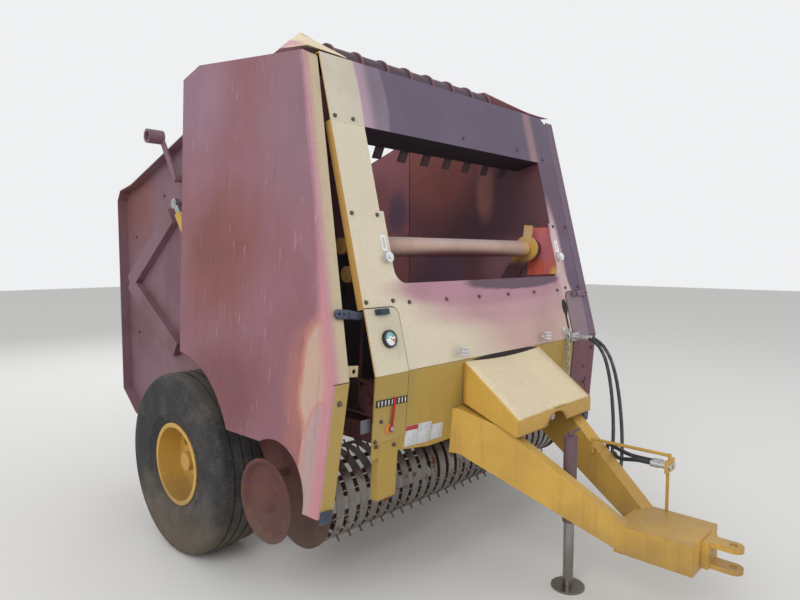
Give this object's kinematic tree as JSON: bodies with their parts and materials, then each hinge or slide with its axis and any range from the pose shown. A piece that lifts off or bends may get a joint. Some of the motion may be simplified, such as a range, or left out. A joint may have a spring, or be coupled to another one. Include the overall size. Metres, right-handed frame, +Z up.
{
  "type": "round baler",
  "caption": "Towed round baler with a cylindrical bale chamber, lifting tailgate, top-hinged side doors, tined pickup, tongue with jack, and fire-damaged paint.",
  "frame": {"origin": "on the ground under the middle of the machine's box, hitch to tailgate and side to side", "axes": "+X to the machine's left side, +Y rearwards from the hitch to the tailgate, +Z up"},
  "size_m": [2.584, 4.02, 2.74],
  "materials": {
    "chamber_paint": "scorched primer and rust",
    "mauve_paint": "fire-scorched primer, matt, with rust blooms",
    "purple_paint": "fire-scorched paint, matt purple brown",
    "cream_paint": "heat-bleached yellow paint",
    "ochre_paint": "weathered yellow paint",
    "golden_paint": "weathered yellow paint",
    "rusty_steel": "dark rust",
    "zinc": "zinc plate, dull",
    "roller_paint": "burnt roller with pink rings",
    "red_paint": "weathered red",
    "black_plastic": "matt",
    "latch_rubber": "blue-grey moulded rubber",
    "hose_rubber": "black hose",
    "tyre": "weathered rubber"
  },
  "bodies": {
    "frame": {"wall_right": "chamber_paint", "wall_left": "chamber_paint", "header": "purple_paint", "front_sheet": "cream_paint", "lower_front": "ochre_paint", "access_panels": "cream_paint", "shoulder_covers": "cream_paint", "frame_rails": "rusty_steel", "axle": "rusty_steel", "top_roller": "roller_paint", "chamber_rollers": "rusty_steel", "guide_bar": "rusty_steel", "tongue": "golden_paint", "hitch": "golden_paint", "tongue_cover": "cream_paint", "gearbox": "rusty_steel", "hose_holder": "golden_paint", "hose_ports": "zinc", "jack_tube": "purple_paint", "gauge": "black_plastic", "bale_scale": "red_paint", "twine_guides": "zinc", "tow_chain": "zinc", "drive_chain": "rusty_steel", "twine_box": "mauve_paint", "door_hinges": "rusty_steel", "door_catches": "latch_rubber", "hose_a": "hose_rubber", "hose_b": "hose_rubber", "hose_couplers": "zinc"},
    "pickup": {"pickup_frame": "rusty_steel", "pickup_bands": "zinc"},
    "jack_leg": {"jack_leg": "zinc"},
    "input_shaft": {"input_shaft": "zinc"},
    "pickup_reel": {"pickup_reel": "rusty_steel"},
    "gauge_wheel_right": {"gauge_wheel_right": "mauve_paint"},
    "gauge_wheel_left": {"gauge_wheel_left": "mauve_paint"},
    "wheel_right": {"tyre_right": "tyre", "rim_right": "golden_paint"},
    "wheel_left": {"tyre_left": "tyre", "rim_left": "golden_paint"},
    "tailgate": {"tailgate_right": "mauve_paint", "tailgate_left": "mauve_paint", "tailgate_frame": "rusty_steel", "tailgate_rollers": "rusty_steel"},
    "tension_arm": {"tension_arm": "golden_paint"},
    "door_right": {"door_right": "mauve_paint"},
    "door_left": {"door_left": "mauve_paint"},
    "barrel_right": {"barrel_right": "golden_paint"},
    "barrel_left": {"barrel_left": "golden_paint"},
    "rod_right": {"rod_right": "zinc"},
    "rod_left": {"rod_left": "zinc"}
  },
  "joints": [
    {"name": "wheel_right_spin", "type": "hinge", "parent": "frame", "child": "wheel_right", "pos_m": [-1.09, 0.46, 0.49], "axis": [1, 0, 0], "continuous": true},
    {"name": "wheel_left_spin", "type": "hinge", "parent": "frame", "child": "wheel_left", "pos_m": [1.09, 0.46, 0.49], "axis": [1, 0, 0], "continuous": true},
    {"name": "gauge_right_spin", "type": "hinge", "parent": "pickup", "child": "gauge_wheel_right", "pos_m": [-1.27, -0.449, 0.55], "axis": [1, 0, 0], "continuous": true},
    {"name": "gauge_left_spin", "type": "hinge", "parent": "pickup", "child": "gauge_wheel_left", "pos_m": [1.27, -0.449, 0.55], "axis": [1, 0, 0], "continuous": true},
    {"name": "pickup_lift", "type": "hinge", "parent": "frame", "child": "pickup", "pos_m": [0, -0.08, 0.715], "axis": [-1, 0, 0], "range_deg": [0, 8]},
    {"name": "pickup_spin", "type": "hinge", "parent": "pickup", "child": "pickup_reel", "pos_m": [0, -0.37, 0.45], "axis": [1, 0, 0], "continuous": true},
    {"name": "input_spin", "type": "hinge", "parent": "frame", "child": "input_shaft", "pos_m": [0, -1, 0.8], "axis": [0, 1, 0], "continuous": true},
    {"name": "jack_slide", "type": "slide", "parent": "frame", "child": "jack_leg", "axis": [0, 0, 1], "range_m": [0, 0.3]},
    {"name": "tailgate_lift", "type": "hinge", "parent": "frame", "child": "tailgate", "pos_m": [0, 0.6, 2.5], "axis": [1, 0, 0], "range_deg": [0, 60]},
    {"name": "tension_swing", "type": "hinge", "parent": "frame", "child": "tension_arm", "pos_m": [0, -0.52, 1.66], "axis": [1, 0, 0], "range_deg": [0, 70]},
    {"name": "door_right_swing", "type": "hinge", "parent": "frame", "child": "door_right", "pos_m": [-1.04, -0.466, 2.505], "axis": [0, 0.9923, 0.1236], "range_deg": [-5.9, 74.1]},
    {"name": "door_left_swing", "type": "hinge", "parent": "frame", "child": "door_left", "pos_m": [1.04, -0.466, 2.505], "axis": [0, -0.9923, -0.1236], "range_deg": [0, 80]},
    {"name": "barrel_right_turn", "type": "hinge", "parent": "frame", "child": "barrel_right", "pos_m": [-0.86, 0.4, 0.95], "axis": [1, 0, 0], "range_deg": [0, 8]},
    {"name": "rod_right_slide", "type": "slide", "parent": "barrel_right", "child": "rod_right", "axis": [0, 0.5896, 0.8077], "range_m": [0, 0.75]},
    {"name": "barrel_left_turn", "type": "hinge", "parent": "frame", "child": "barrel_left", "pos_m": [0.86, 0.4, 0.95], "axis": [1, 0, 0], "range_deg": [0, 8]},
    {"name": "rod_left_slide", "type": "slide", "parent": "barrel_left", "child": "rod_left", "axis": [0, 0.5896, 0.8077], "range_m": [0, 0.75]}
  ],
  "couplings": [
    {"joint": "barrel_right_turn", "follows": "tailgate_lift", "ratio": 0.12723},
    {"joint": "rod_right_slide", "follows": "tailgate_lift", "m_per_rad": 0.70179},
    {"joint": "barrel_left_turn", "follows": "tailgate_lift", "ratio": 0.12723},
    {"joint": "rod_left_slide", "follows": "tailgate_lift", "m_per_rad": 0.70179}
  ]
}
